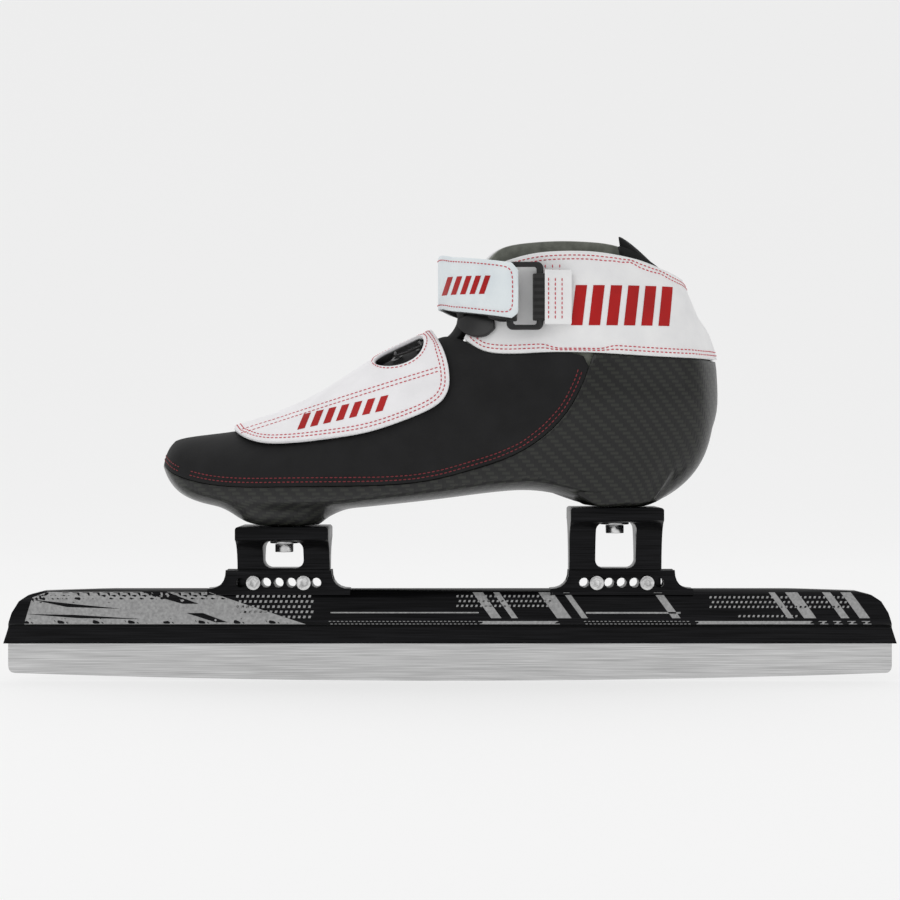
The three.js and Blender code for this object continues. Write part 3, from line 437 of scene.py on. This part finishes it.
def rims(obj, start, max_turn_degrees=50):
    """The closed edges of that skin, each a list of points, longest first."""
    mesh, skin = skin_of(obj, start, max_turn_degrees)
    members = set(skin)
    step = {}
    for face in skin:
        for loop in face.loops:
            if any(other not in members for other in loop.edge.link_faces):
                step.setdefault(loop.vert, []).append(loop.link_loop_next.vert)
    found = []
    while step:
        here = min(step, key=lambda vert: tuple(vert.co))
        line = []
        while here in step:
            line.append(here.co.copy())
            after = max(step[here], key=lambda vert: tuple(vert.co))
            step[here].remove(after)
            if not step[here]:
                del step[here]
            here = after
        found.append(line)
    mesh.free()
    found.sort(key=len, reverse=True)
    return found


SKIN_REACH = 2 * MM  # how far the finished skin may lie from the CAD one
SAME_SIDE = 0.4  # cosine below which a ray has met the wall's edge, not its skin


class Surface:
    """A finished piece with the outer skin of its CAD node, which says which way is out."""

    def __init__(self, obj, cad_name, start):
        self.full = tree_of(obj)
        mesh, skin = skin_of(nodes[cad_name], start)
        self.skin = BVHTree.FromPolygons(
            [v.co.copy() for v in mesh.verts], [[v.index for v in f.verts] for f in skin]
        )
        mesh.free()
        self.rims = rims(nodes[cad_name], start)

    def nearest(self, point):
        """The nearest place on the outer skin, and its normal, read off the finished piece."""
        place, normal, _, _ = self.skin.find_nearest(point)
        hit, fine, _, _ = self.full.ray_cast(place + normal * SKIN_REACH, -normal, 2 * SKIN_REACH)
        if hit is None or fine.dot(normal) < SAME_SIDE:
            return place, normal
        return hit, fine

    def from_side(self, x, z, side=-1):
        """Where a line along Y first meets the piece, x and z in metres."""
        hit, normal, _, _ = self.full.ray_cast(Vector((x, side * FAR_SIDE, z)), Vector((0, -side, 0)))
        return hit, normal


def spaced(line, pitch, closed=False):
    """Points at an even pitch along a line."""
    points = list(line) + ([line[0]] if closed else [])
    made = [points[0]]
    left = pitch
    for a, b in zip(points, points[1:]):
        length = (b - a).length
        done = 0
        while length - done >= left:
            done += left
            made.append(a.lerp(b, done / length))
            left = pitch
        left -= length - done
    return made


def smoothed(line, rounds, closed=False):
    """The line with its steps evened out, its ends kept unless it is closed."""
    for _ in range(rounds):
        n = len(line)
        mean = [(line[i - 1] + line[i] * 2 + line[(i + 1) % n]) / 4 for i in range(n)]
        if not closed:
            mean[0], mean[-1] = line[0], line[-1]
        line = mean
    return line


def inset(line, surface, distance, closed=False):
    """The line moved across the surface, to the left of its run, by distance; kept on the surface."""
    moved = []
    n = len(line)
    for i, point in enumerate(line):
        before = line[i - 1] if i or closed else line[0]
        after = line[(i + 1) % n] if i + 1 < n or closed else line[-1]
        _, normal = surface.nearest(point)
        across = normal.cross(after - before).normalized()
        moved.append(surface.nearest(point + across * distance)[0])
    return smoothed(moved, 4, closed)


def runs(line, keep, least=6):
    """The unbroken stretches of a closed line whose points pass keep."""
    good = [keep(p) for p in line]
    if all(good):
        return [line]
    if not any(good):
        return []
    start = next(i for i in range(len(line)) if good[i] and not good[i - 1])
    found = [[]]
    for i in range(len(line)):
        point = line[(start + i) % len(line)]
        if good[(start + i) % len(line)]:
            found[-1].append(point)
        elif found[-1]:
            found.append([])
    return [f for f in found if len(f) >= least]


STITCH_PITCH = 2.2 * MM
STITCH_LENGTH = 1.6 * MM
STITCH_RADIUS = 0.28 * MM
STITCH_FLATNESS = 0.8  # height of a stitch over its width
STRAY = 1.5 * MM  # a stitch that would jump further than this is left out
RIM_STEP = 1.5 * MM  # pitch that an edge is read at


def stitch_shape():
    """One stitch as a unit ball, long way along X: its points and faces."""
    ball = bmesh.new()
    bmesh.ops.create_uvsphere(ball, u_segments=8, v_segments=6, radius=1)
    bmesh.ops.rotate(ball, verts=ball.verts, matrix=Matrix.Rotation(math.pi / 2, 3, "Y"))
    ball.verts.index_update()
    points = [v.co.copy() for v in ball.verts]
    faces = []
    for face in ball.faces:
        corners = [v.index for v in face.verts]
        first = corners.index(min(corners))
        faces.append(corners[first:] + corners[:first])
    ball.free()
    # The primitive's faces come in no fixed order, so they are put in one.
    return points, sorted(faces)


STITCH_POINTS, STITCH_FACES = stitch_shape()


class Seams:
    """Stitches of one thread on one body, gathered into one mesh."""

    def __init__(self, name, thread_finish, body, slot_name):
        self.name, self.finish, self.body, self.slot = name, thread_finish, body, slot_name
        self.points, self.faces = [], []

    def row(self, line, surface, closed=False, lift=0.1 * MM):
        """Thread laid stitch by stitch along a line on a surface."""
        places = spaced(line, STITCH_PITCH, closed)
        for a, b in zip(places, places[1:]):
            middle = (a + b) / 2
            place, normal = surface.nearest(middle)
            if (b - a).length < STITCH_PITCH / 2 or (place - middle).length > STRAY:
                continue
            along = (b - a).normalized()
            across = normal.cross(along).normalized()
            up = along.cross(across)
            turn = Matrix((along, across, up)).transposed().to_4x4()
            size = Matrix.Diagonal((STITCH_LENGTH / 2, STITCH_RADIUS, STITCH_RADIUS * STITCH_FLATNESS, 1))
            at = Matrix.Translation(place + normal * lift)
            start = len(self.points)
            self.points += [at @ turn @ size @ p for p in STITCH_POINTS]
            self.faces += [[start + i for i in face] for face in STITCH_FACES]

    def finish_up(self):
        """The stitches as one object riding on their body."""
        data = bpy.data.meshes.new(self.name)
        data.from_pydata(self.points, [], self.faces)
        made = bpy.data.objects.new(self.name, data)
        bpy.context.scene.collection.objects.link(made)
        dress(made, self.finish)
        pick(made)
        bpy.ops.object.shade_smooth()
        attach(made, self.body)
        return made


def side_path(surface, points, side=-1, pitch_mm=1.0):
    """A line given in side view, in millimetres, laid on the surface from outside."""
    corners = [Vector((x * MM, 0, z * MM)) for x, z in points]
    laid = []
    for p in spaced(corners, pitch_mm * MM):
        hit, _ = surface.from_side(p.x, p.z, side)
        if hit is not None:
            laid.append(hit)
    return laid


on_cover = Surface(cover, "vamp_cover", Vector((-0.06, -0.055, 0.13)))
on_collar = Surface(collar, "ankle_collar", Vector((0.09, -0.055, 0.18)))
on_strap = Surface(strap, "strap_face", Vector((-0.02, 0, 0.19)))
on_upper = Surface(upper, "upper", Vector((-0.06, -0.06, 0.105)))
on_tube = tree_of(tube)

red_cover = Seams("cover_stitching", RED_THREAD, "cover", "white_microfibre")
red_collar = Seams("collar_stitching", RED_THREAD, "boot", "white_microfibre")
red_strap = Seams("strap_stitching", RED_THREAD, "strap", "white_microfibre")
dark_boot = Seams("upper_stitching", DARK_THREAD, "boot", "black_microfibre")


def rim_rows(seams, surface, line, distances_mm, keep=None):
    """Rows of stitches beside a piece's edge, wherever keep holds."""
    whole = smoothed(spaced(line, RIM_STEP, True), 3, True)
    for d in distances_mm:
        for part in [whole] if keep is None else runs(whole, keep):
            closed = part is whole
            seams.row(inset(smoothed(part, 2, closed), surface, d * MM, closed), surface, closed)


rim_rows(red_cover, on_cover, on_cover.rims[0], (2.0, 3.8))
for hole in on_cover.rims[1:2]:
    rim_rows(red_cover, on_cover, hole, (1.9,))
ROW_GAP = 2.0  # millimetres between the two rows of a twin seam
for d in (0, ROW_GAP):
    red_cover.row(side_path(on_cover, [(-100, 120.5 + d), (-60, 133 + d), (-4, 150.4 + d)]), on_cover)

rim_rows(red_collar, on_collar, on_collar.rims[0], (2.0, 3.8))
for x in (45, 48.4, 51.8):
    red_collar.row(side_path(on_collar, [(x, 172), (x, 203)]), on_collar)
rim_rows(red_strap, on_strap, on_strap.rims[0], (2.6,))


SHELL_LOW = 99 * MM  # the shell's edge runs under this height forward of SHELL_TURN
SHELL_TURN = -20 * MM
SHELL_CLIMB = 0.62  # and climbs at this rate behind it
SHELL_TOE = -130 * MM


def above_shell(p):
    """Whether a place on the upper's edge borders the carbon shell."""
    rise = max(0, p.x - SHELL_TURN) * SHELL_CLIMB
    return p.z < SHELL_LOW + rise or p.x < SHELL_TOE


rim_rows(dark_boot, on_upper, on_upper.rims[0], (2.2, 4.1), above_shell)

# ---------------------------------------------------------------- printed and bonded marks


def decal(name, shapes, place_of, finish, body, thick=0.12 * MM, cell=1.5 * MM):
    """Flat shapes, each a side-view outline in millimetres, laid onto a surface as a thin film."""
    points, faces = [], []
    for outline in shapes:
        sheet_mesh = bmesh.new()
        corners = [sheet_mesh.verts.new((x * MM, 0, z * MM)) for x, z in outline]
        sheet_mesh.faces.new(corners)
        bmesh.ops.triangulate(sheet_mesh, faces=sheet_mesh.faces[:])
        for _ in range(8):
            long = [e for e in sheet_mesh.edges if e.calc_length() > cell * 2]
            if not long:
                break
            bmesh.ops.subdivide_edges(sheet_mesh, edges=long, cuts=1)
            bmesh.ops.triangulate(sheet_mesh, faces=sheet_mesh.faces[:])
        start = len(points)
        sheet_mesh.verts.index_update()
        laid = [place_of(v.co.x, v.co.z) for v in sheet_mesh.verts]
        if all(hit is not None for hit, _ in laid):
            points += [hit + normal * thick for hit, normal in laid]
            faces += [[start + v.index for v in f.verts] for f in sheet_mesh.faces]
        sheet_mesh.free()
    data = bpy.data.meshes.new(name)
    data.from_pydata(points, [], faces)
    made = bpy.data.objects.new(name, data)
    bpy.context.scene.collection.objects.link(made)
    dress(made, finish)
    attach(made, body)
    return made


def slanted_bars(x, z, width, height, count, rise=0.0, lean=0.35, gap=0.42):
    """A generic mark: a row of leaning bars in a box whose base climbs by rise per millimetre."""
    pitch = width / count
    bars = []
    for i in range(count):
        x0 = x + i * pitch
        x1 = x0 + pitch * (1 - gap)
        for_top = height * lean
        bars.append(
            [
                (x0, z + (x0 - x) * rise),
                (x1, z + (x1 - x) * rise),
                (x1 + for_top, z + (x1 - x) * rise + height),
                (x0 + for_top, z + (x0 - x) * rise + height),
            ]
        )
    return bars


MARKS = (
    ("cover_mark", "cover", on_cover, slanted_bars(-72, 122.2, 43, 7.5, 7, 0.22)),
    ("collar_mark", "boot", on_collar, slanted_bars(57, 171.5, 50, 19, 6, 0.0, 0.12, 0.35)),
    ("strap_mark", "strap", on_strap, slanted_bars(-4, 187.2, 22, 8.5, 5, -0.05)),
)
for name, body, surface, bars in MARKS:
    decal(name, bars, surface.from_side, RED_FILM, body)


def quad(x0, x1, z0, z1, lean=0.0):
    """A bar between two heights; lean moves its top along X."""
    return [(x0, z0), (x1, z0), (x1 + lean, z1), (x0 + lean, z1)]


def dots(x0, x1, z0, z1, pitch=2.3, size=1.0):
    """A matrix of small printed squares, every other row moved by half a pitch."""
    made = []
    for row in range(int((z1 - z0) / pitch)):
        for column in range(int((x1 - x0) / pitch)):
            x = x0 + (column + 0.5 * (row % 2)) * pitch
            z = z0 + row * pitch
            made.append(quad(x, x + size, z, z + size, 0.3))
    return made


def tube_print():
    """The silver print of the tube, as side-view outlines in millimetres."""
    foot, foot_top = 28, 29.6  # the row of bars along the tube's foot
    made = [[(-207, foot), (-70, foot), (-117, 43.6), (-196, 43.6), (-203, 41)]]
    made += dots(-104, -66, 31, 43.5, 2.5, 1.2)
    made += dots(3, 50, 36.5, 43.5)
    made += dots(126, 196, 36, 43.5)
    made += dots(140, 170, 31.5, 35.5)
    for x, width in ((20, 5), (30, 3), (52, 7), (64, 3), (108, 4), (164, 3), (172, 6), (190, 4), (199, 5)):
        made.append(quad(x, x + width, 31, 43.4, -9))
    made.append(quad(-58, 14, 33.4, 34))
    made.append(quad(66, 112, 33.2, 34))
    made.append(quad(14.6, 53.5, foot, foot_top, -1))
    made.append(quad(120, 177, foot, foot_top, -1))
    for first, last, pitch, width in ((-58, 14, 2, 1.1), (66, 117, 2, 1.1), (180, 208, 7, 4)):
        made += [quad(x, x + width, foot, foot_top, -1) for x in range(first, last, pitch)]
    return made


def tube_shards():
    """Black shards over the silver front panel."""
    return [
        [(-203, 40), (-186, 36.4), (-160, 35.6), (-184, 38)],
        [(-206, 33), (-180, 31), (-150, 30.6), (-182, 32.6)],
        [(-150, 43.6), (-138, 43.6), (-122, 38), (-130, 38)],
        [(-128, 33.5), (-120, 33.5), (-108, 29), (-114, 29)],
    ]


BESIDE_TUBE = 50 * MM  # where a line of sight to the tube starts


def on_tube_side(side):
    """Finds places on one side of the tube."""

    def place(x, z):
        hit, normal, _, _ = on_tube.ray_cast(Vector((x, side * BESIDE_TUBE, z)), Vector((0, -side, 0)))
        return hit, normal

    return place


INK = 0.06 * MM  # thickness of one pass of print
for side, where in ((-1, "outer"), (1, "inner")):
    reach = on_tube_side(side)
    decal(where + "_tube_print", tube_print(), reach, SILVER, "boot", INK)
    decal(where + "_tube_shards", tube_shards(), reach, ALLOY, "boot", 2 * INK)


def ring_web_cover():
    """A white facing over the end of the ring's webbing, where it is sewn to the collar."""
    front = 44.6  # millimetres: the facing starts just behind the ring's rear bar
    made = copy_of(ring_web, "webbing_facing")
    pick(made)
    bpy.ops.object.mode_set(mode="EDIT")
    bpy.ops.mesh.select_all(action="SELECT")
    bpy.ops.mesh.remove_doubles(threshold=MERGE)
    bpy.ops.mesh.bisect(plane_co=(front * MM, 0, 0), plane_no=(1, 0, 0), use_fill=True, clear_inner=True)
    bpy.ops.mesh.select_all(action="SELECT")
    bpy.ops.mesh.normals_make_consistent(inside=False)
    bpy.ops.transform.resize(value=(1.02, 1, 1.16), center_override=(50 * MM, -40 * MM, 184.6 * MM))
    bpy.ops.transform.translate(value=(0, -0.7 * MM, 0))
    bpy.ops.object.mode_set(mode="OBJECT")
    soften(made, 0.4)
    dress(made, OFF_WHITE)
    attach(made, "boot")
    return made


facing = ring_web_cover()
on_facing = tree_of(facing)


class Facing:
    """The facing's surface, for stitches laid from outside."""

    def from_side(self, x, z, side=-1):
        """Where a line along Y first meets the facing."""
        hit, normal, _, _ = on_facing.ray_cast(Vector((x, side * FAR_SIDE, z)), Vector((0, -side, 0)))
        return hit, normal

    def nearest(self, point):
        """The place straight in from a point, and its normal."""
        hit, normal = self.from_side(point.x, point.z)
        return (hit, normal) if hit is not None else (point, Vector((0, -1, 0)))


facing_surface = Facing()
for x in (46.2, 49.4, 52.6):
    red_collar.row(side_path(facing_surface, [(x, 174), (x, 195.4)]), facing_surface)

for seams in (red_cover, red_collar, red_strap, dark_boot):
    seams.finish_up()

# ---------------------------------------------------------------- stage, light and camera


def sweep():
    """A pale paper sweep: a floor that curves up into a wall behind the skate."""
    bpy.ops.mesh.primitive_plane_add(size=1)
    made = bpy.context.object
    made.name = "floor"
    bpy.ops.object.mode_set(mode="EDIT")
    bpy.ops.mesh.select_all(action="SELECT")
    bpy.ops.transform.resize(value=(12, 5, 1))
    bpy.ops.mesh.select_mode(type="EDGE")
    bpy.ops.mesh.select_all(action="DESELECT")
    bpy.ops.object.mode_set(mode="OBJECT")
    for edge in made.data.edges:
        edge.select = all(made.data.vertices[v].co.y > 0 for v in edge.vertices)
    bpy.ops.object.mode_set(mode="EDIT")
    bpy.ops.mesh.extrude_region_move(TRANSFORM_OT_translate={"value": (0, 0, 4)})
    bpy.ops.mesh.select_all(action="SELECT")
    bpy.ops.object.mode_set(mode="OBJECT")
    apply_modifier(made, "BEVEL", width=1.5, segments=12, limit_method="ANGLE")
    pick(made)
    bpy.ops.object.shade_smooth()
    paper, tree, shader = material("pale_paper", "#8c8c8c", 0.95)
    shader.inputs["Emission Color"].default_value = linear("#f6f6f6")
    shader.inputs["Emission Strength"].default_value = 0.72
    tree.links.new(ramp(tree, noise(tree, 900), "#8b8b8b", "#8d8d8d"), shader.inputs["Base Color"])
    dress(made, paper)
    return made


floor = sweep()

WORLD_STRENGTH = 0.62
world = bpy.context.scene.world or bpy.data.worlds.new("studio")
bpy.context.scene.world = world
world.use_nodes = True
backdrop = world.node_tree.nodes["Background"]
backdrop.inputs["Color"].default_value = linear("#f6f6f6")
backdrop.inputs["Strength"].default_value = WORLD_STRENGTH


def lamp(name, power, size, at, look):
    bpy.ops.object.light_add(type="AREA", location=at)
    made = bpy.context.object
    made.name = name
    made.data.energy = power
    made.data.size = size
    made.rotation_euler = (Vector(look) - Vector(at)).to_track_quat("-Z", "Y").to_euler()
    return made


aim = (0, 0, 0.11)
key = lamp("key", 3.2, 0.9, (-0.7, -0.9, 1.1), aim)
fill = lamp("fill", 1.2, 1.2, (0.9, -1.1, 0.7), aim)
top = lamp("top", 2.4, 1.0, (0.1, 0.3, 1.3), aim)

# A level camera, square to the outer side; the lens spans 440 mm at the skate's middle plane.
CAMERA_AWAY = 1.03
CAMERA_HEIGHT = 0.1127
VIEW_WIDTH = 0.440
SENSOR_MM = 36
bpy.ops.object.camera_add(location=(0, -CAMERA_AWAY, CAMERA_HEIGHT), rotation=(math.pi / 2, 0, 0))
camera = bpy.context.object
camera.data.sensor_width = SENSOR_MM
camera.data.lens = SENSOR_MM * CAMERA_AWAY / VIEW_WIDTH
bpy.context.scene.camera = camera
bpy.context.scene.view_settings.view_transform = "Standard"
